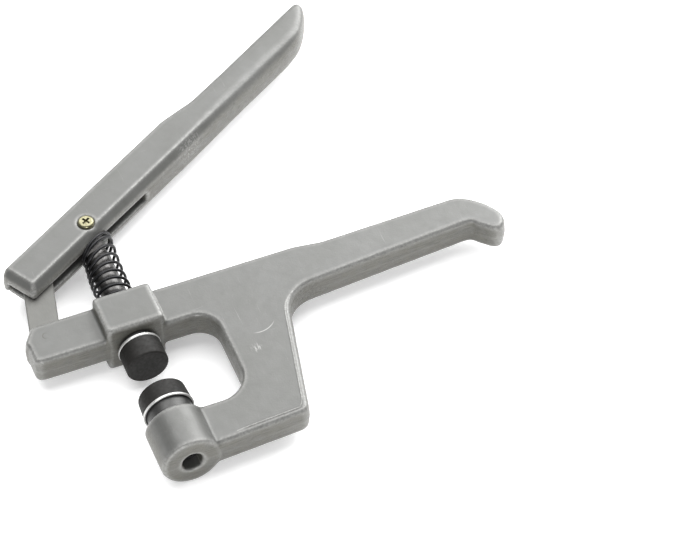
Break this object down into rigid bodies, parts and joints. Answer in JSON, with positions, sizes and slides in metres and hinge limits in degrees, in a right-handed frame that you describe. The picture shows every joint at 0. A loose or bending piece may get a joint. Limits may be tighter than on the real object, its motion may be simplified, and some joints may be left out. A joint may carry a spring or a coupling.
{
  "type": "snap setting hand press",
  "caption": "Hand-squeeze press with C-shaped frame, hooked rear handle, linked squeeze lever, sprung plunger and facing anvil and plunger pads.",
  "frame": {"origin": "centre of the anvil pad's working face", "axes": "+Y along the plunger's stroke, away from the anvil; +X towards the rear handle; +Z across the tool's thickness, away from the surface it lies on"},
  "size_m": [0.2151, 0.2211, 0.026],
  "materials": {
    "cast_grey": "satin grey hammered casting",
    "link_grey": "satin",
    "steel_dark": "oiled dark steel",
    "spring_black": "black oxide",
    "pin_steel": "satin, painted over",
    "zinc_yellow": "pale yellow zinc plate",
    "holder_bright": "turned, bright rim",
    "pad_black": "matte"
  },
  "bodies": {
    "frame": {"frame_casting": "cast_grey", "frame_link_pin": "pin_steel", "lower_die_holder": "holder_bright", "lower_pad": "pad_black", "anvil_screw": "steel_dark", "anvil_lock_washer": "steel_dark"},
    "plunger": {"plunger_rod": "steel_dark", "upper_die_holder": "holder_bright", "upper_pad": "pad_black", "return_spring": "spring_black"},
    "lever": {"lever_casting": "cast_grey", "lever_link_pin": "pin_steel", "pivot_screw": "zinc_yellow", "pivot_nut": "zinc_yellow"},
    "link": {"side_link": "link_grey"}
  },
  "joints": [
    {"name": "plunger_slide", "type": "slide", "parent": "frame", "child": "plunger", "axis": [0, 1, 0], "range_m": [-0.0153, 0], "deforming": ["return_spring"]},
    {"name": "lever_pivot", "type": "hinge", "parent": "plunger", "child": "lever", "pos_m": [0, 0.093, 0], "axis": [0, 0, 1], "range_deg": [-29.4, 0], "stiffness_Nm_per_rad": 1.2, "springref_deg": 20.05},
    {"name": "link_pivot", "type": "hinge", "parent": "frame", "child": "link", "pos_m": [-0.0359, 0.042, 0], "axis": [0, 0, 1], "range_deg": [0, 9.21]}
  ],
  "couplings": [
    {"joint": "plunger_slide", "follows": "lever_pivot", "m_per_rad": 0.029817},
    {"joint": "link_pivot", "follows": "lever_pivot", "ratio": -0.31293}
  ]
}
